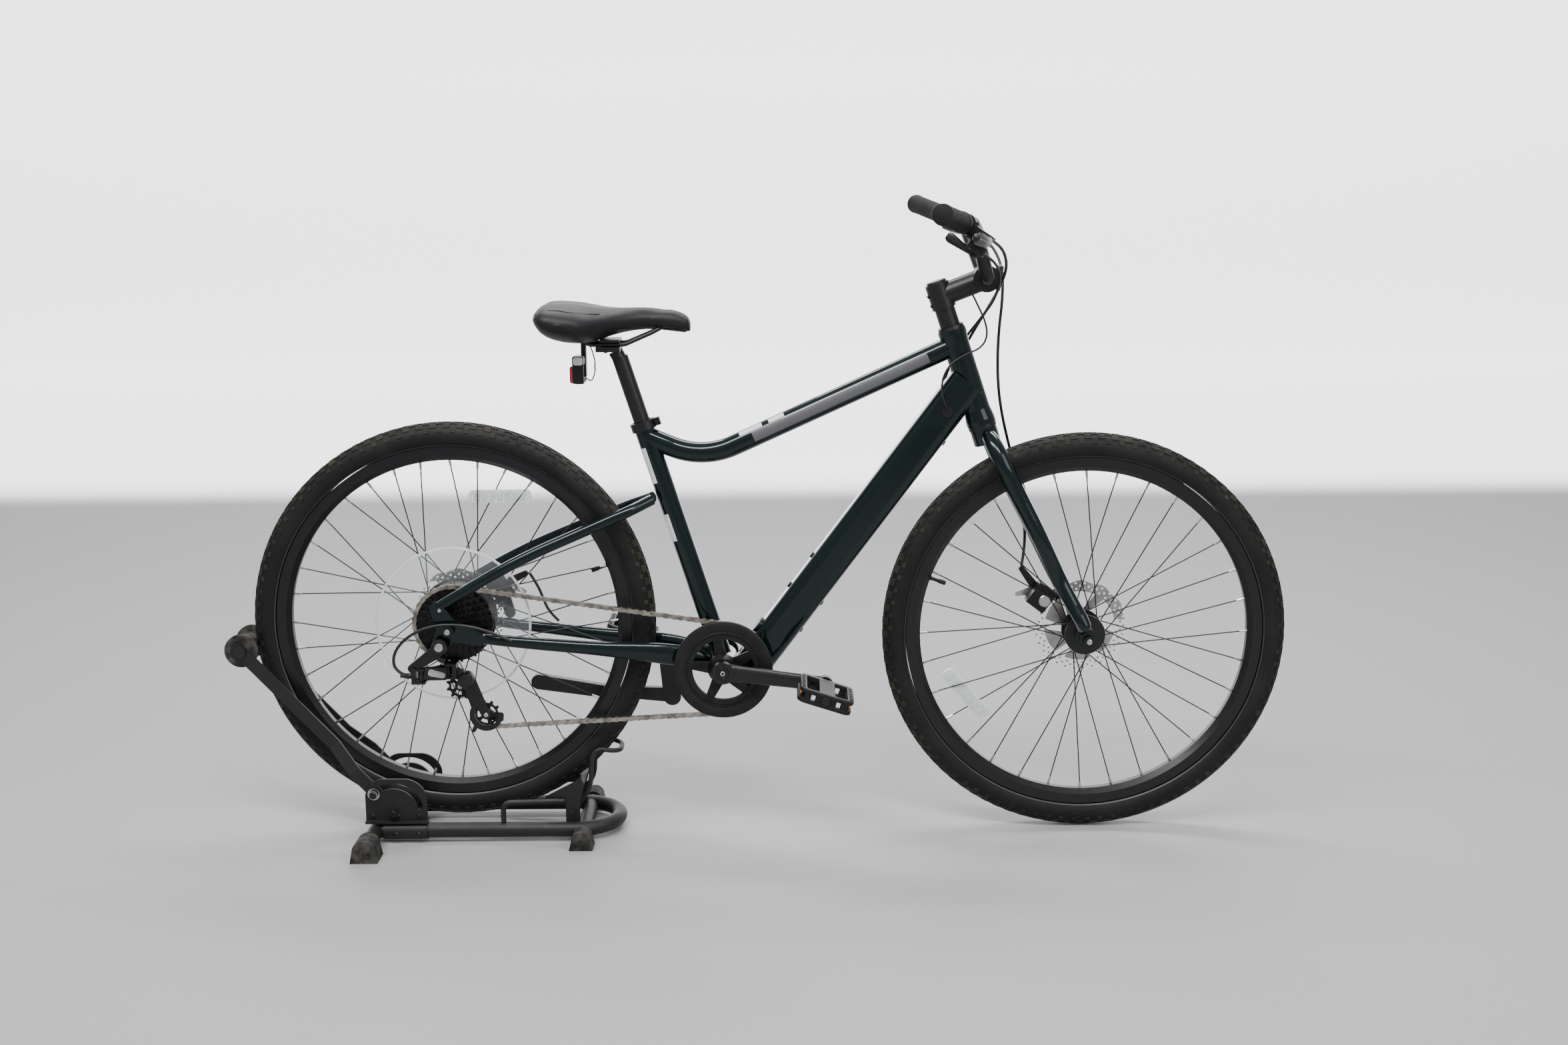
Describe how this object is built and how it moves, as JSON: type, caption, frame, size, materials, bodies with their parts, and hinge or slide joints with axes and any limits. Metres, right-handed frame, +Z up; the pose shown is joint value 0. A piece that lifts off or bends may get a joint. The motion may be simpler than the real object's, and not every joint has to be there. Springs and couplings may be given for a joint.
{
  "type": "bicycle on a stand",
  "caption": "City bicycle with hub motor, disc brakes, derailleur gears and a folding kickstand, held upright by its rear wheel on a low tubular floor stand.",
  "frame": {"origin": "on the floor under the middle of the length, in the middle plane", "axes": "+X towards the front wheel, +Y to the far side from the chain, +Z up"},
  "size_m": [1.7875, 0.6562, 1.0652],
  "materials": {
    "frame_paint": "gloss",
    "black_metal": "satin",
    "black_rim": "satin",
    "black_spoke": "satin",
    "battery_case": "matte",
    "tyre_rubber": "matte",
    "grip_rubber": "matte",
    "foot_rubber": "matte",
    "saddle_cover": "matte",
    "pedal_plastic": "matte",
    "steel": "satin",
    "stand_paint": "matte",
    "cable_housing": "satin"
  },
  "bodies": {
    "stand": {"stand_base": "stand_paint", "stand_feet": "foot_rubber", "stand_brackets": "stand_paint", "stand_arms": "stand_paint"},
    "roller": {"stand_roller": "foot_rubber"},
    "hoop": {"stand_hoop": "stand_paint"},
    "frame": {"head_tube": "frame_paint", "headset_cups": "black_metal", "top_tube": "frame_paint", "down_tube": "frame_paint", "battery": "battery_case", "seat_tube": "frame_paint", "bottom_bracket_shell": "frame_paint", "rear_triangle": "frame_paint", "frame_fittings": "black_metal", "rear_axle": "steel", "rear_caliper": "black_metal", "rear_housings": "cable_housing", "derailleur_knuckle": "black_metal", "chain": "steel"},
    "fork_and_bar": {"fork": "frame_paint", "front_axle": "steel", "stem": "black_metal", "handlebar": "black_metal", "grips": "grip_rubber", "lever_clamps": "black_metal", "front_caliper": "black_metal", "front_brake_housing": "cable_housing", "steering_housings": "cable_housing"},
    "right_lever": {"right_brake_lever": "black_metal"},
    "left_lever": {"left_brake_lever": "black_metal"},
    "paddle": {"shifter_paddle": "black_metal"},
    "front_brake_arm": {"front_caliper_arm": "steel"},
    "rear_brake_arm": {"rear_caliper_arm": "steel"},
    "front_wheel": {"front_tyre": "tyre_rubber", "front_rim": "black_rim", "front_spokes": "black_spoke", "front_hub": "black_metal", "front_rotor": "steel"},
    "rear_wheel": {"rear_tyre": "tyre_rubber", "rear_rim": "black_rim", "rear_spokes": "black_spoke", "rear_hub": "black_metal", "rear_rotor": "steel"},
    "cassette": {"cassette": "steel"},
    "crankset": {"crank_arms": "black_metal", "chainring": "steel", "chain_guard": "pedal_plastic"},
    "right_pedal": {"right_pedal": "pedal_plastic"},
    "left_pedal": {"left_pedal": "pedal_plastic"},
    "seat": {"seatpost": "black_metal", "saddle": "saddle_cover", "tail_light": "battery_case"},
    "derailleur_outer_link": {"derailleur_outer_link": "black_metal"},
    "derailleur_inner_link": {"derailleur_inner_link": "black_metal"},
    "derailleur_carrier": {"derailleur_carrier": "black_metal"},
    "derailleur_cage": {"derailleur_cage": "black_metal"},
    "guide_pulley": {"guide_pulley": "pedal_plastic"},
    "tension_pulley": {"tension_pulley": "pedal_plastic"},
    "kickstand": {"kickstand_leg": "black_metal"}
  },
  "joints": [
    {"name": "bike_lift", "type": "slide", "parent": "stand", "child": "frame", "axis": [0, 0, 1], "range_m": [0, 0.3]},
    {"name": "roller_spin", "type": "hinge", "parent": "stand", "child": "roller", "pos_m": [-0.86575, 0, 0.325], "axis": [0, 1, 0], "continuous": true},
    {"name": "hoop_fold", "type": "hinge", "parent": "stand", "child": "hoop", "pos_m": [-0.31275, 0, 0.046], "axis": [0, 1, 0], "range_deg": [0, 50]},
    {"name": "steering", "type": "hinge", "parent": "frame", "child": "fork_and_bar", "pos_m": [0.37875, 0, 0.696], "axis": [-0.3117, 0, 0.9502], "range_deg": [-45, 45], "deforming": ["steering_housings"]},
    {"name": "front_wheel_spin", "type": "hinge", "parent": "fork_and_bar", "child": "front_wheel", "pos_m": [0.55375, 0, 0.34], "axis": [0, 1, 0], "continuous": true},
    {"name": "rear_wheel_spin", "type": "hinge", "parent": "frame", "child": "rear_wheel", "pos_m": [-0.50875, 0, 0.3666], "axis": [0, 1, 0], "continuous": true},
    {"name": "crank_spin", "type": "hinge", "parent": "frame", "child": "crankset", "pos_m": [-0.05425, 0, 0.2915], "axis": [0, 1, 0], "continuous": true, "deforming": ["chain"]},
    {"name": "cassette_spin", "type": "hinge", "parent": "frame", "child": "cassette", "pos_m": [-0.50875, 0, 0.3666], "axis": [0, 1, 0], "continuous": true},
    {"name": "right_pedal_spin", "type": "hinge", "parent": "crankset", "child": "right_pedal", "pos_m": [0.11494, -0.15, 0.27491], "axis": [0, 1, 0], "continuous": true},
    {"name": "left_pedal_spin", "type": "hinge", "parent": "crankset", "child": "left_pedal", "pos_m": [-0.22344, 0.15, 0.30809], "axis": [0, 1, 0], "continuous": true},
    {"name": "right_lever_pull", "type": "hinge", "parent": "fork_and_bar", "child": "right_lever", "pos_m": [0.36819, -0.19054, 1.00553], "axis": [-0.5691, 0.0765, -0.8187], "range_deg": [0, 14], "stiffness_Nm_per_rad": 1.5, "springref_deg": -5.73},
    {"name": "left_lever_pull", "type": "hinge", "parent": "fork_and_bar", "child": "left_lever", "pos_m": [0.36819, 0.19054, 1.00553], "axis": [0.5691, 0.0765, 0.8187], "range_deg": [0, 14], "stiffness_Nm_per_rad": 1.5, "springref_deg": -5.73},
    {"name": "front_brake_pull", "type": "hinge", "parent": "fork_and_bar", "child": "front_brake_arm", "pos_m": [0.48225, 0.062, 0.4], "axis": [0, 1, 0], "range_deg": [-1, 15]},
    {"name": "rear_brake_pull", "type": "hinge", "parent": "frame", "child": "rear_brake_arm", "pos_m": [-0.43275, 0.068, 0.416], "axis": [0, -1, 0], "range_deg": [-1, 15]},
    {"name": "shift_paddle", "type": "hinge", "parent": "fork_and_bar", "child": "paddle", "pos_m": [0.34739, -0.15492, 0.98362], "axis": [0.5691, -0.0765, 0.8187], "range_deg": [0, 25], "stiffness_Nm_per_rad": 0.12, "springref_deg": -5.73},
    {"name": "seat_height", "type": "slide", "parent": "frame", "child": "seat", "axis": [-0.3025, 0, 0.9531], "range_m": [-0.1, 0.06]},
    {"name": "kickstand_fold", "type": "hinge", "parent": "frame", "child": "kickstand", "pos_m": [-0.14675, 0.058, 0.218], "axis": [0, 1, 0], "range_deg": [-38, 0]},
    {"name": "gear_shift", "type": "hinge", "parent": "frame", "child": "derailleur_outer_link", "pos_m": [-0.55475, -0.086, 0.293], "axis": [0, 0, -1], "range_deg": [0, 40.5]},
    {"name": "gear_shift_inner", "type": "hinge", "parent": "frame", "child": "derailleur_inner_link", "pos_m": [-0.55475, -0.072, 0.293], "axis": [0, 0, -1], "range_deg": [0, 40.5]},
    {"name": "gear_shift_carrier", "type": "hinge", "parent": "derailleur_outer_link", "child": "derailleur_carrier", "pos_m": [-0.51535, -0.05522, 0.293], "axis": [0, 0, 1], "range_deg": [0, 40.5]},
    {"name": "cage_swing", "type": "hinge", "parent": "derailleur_carrier", "child": "derailleur_cage", "pos_m": [-0.48675, -0.034, 0.276], "axis": [0, 1, 0], "range_deg": [0, 45]},
    {"name": "guide_pulley_spin", "type": "hinge", "parent": "derailleur_cage", "child": "guide_pulley", "pos_m": [-0.50035, -0.028, 0.2598], "axis": [0, 1, 0], "continuous": true},
    {"name": "tension_pulley_spin", "type": "hinge", "parent": "derailleur_cage", "child": "tension_pulley", "pos_m": [-0.45795, -0.028, 0.21], "axis": [0, 1, 0], "continuous": true}
  ],
  "couplings": [
    {"joint": "cassette_spin", "follows": "crank_spin", "ratio": 1.1875},
    {"joint": "guide_pulley_spin", "follows": "crank_spin", "ratio": -3.4545},
    {"joint": "tension_pulley_spin", "follows": "crank_spin", "ratio": 3.4545},
    {"joint": "gear_shift_inner", "follows": "gear_shift", "ratio": 1},
    {"joint": "gear_shift_carrier", "follows": "gear_shift", "ratio": 1},
    {"joint": "front_brake_pull", "follows": "left_lever_pull", "ratio": 0.8},
    {"joint": "rear_brake_pull", "follows": "right_lever_pull", "ratio": 0.8}
  ]
}
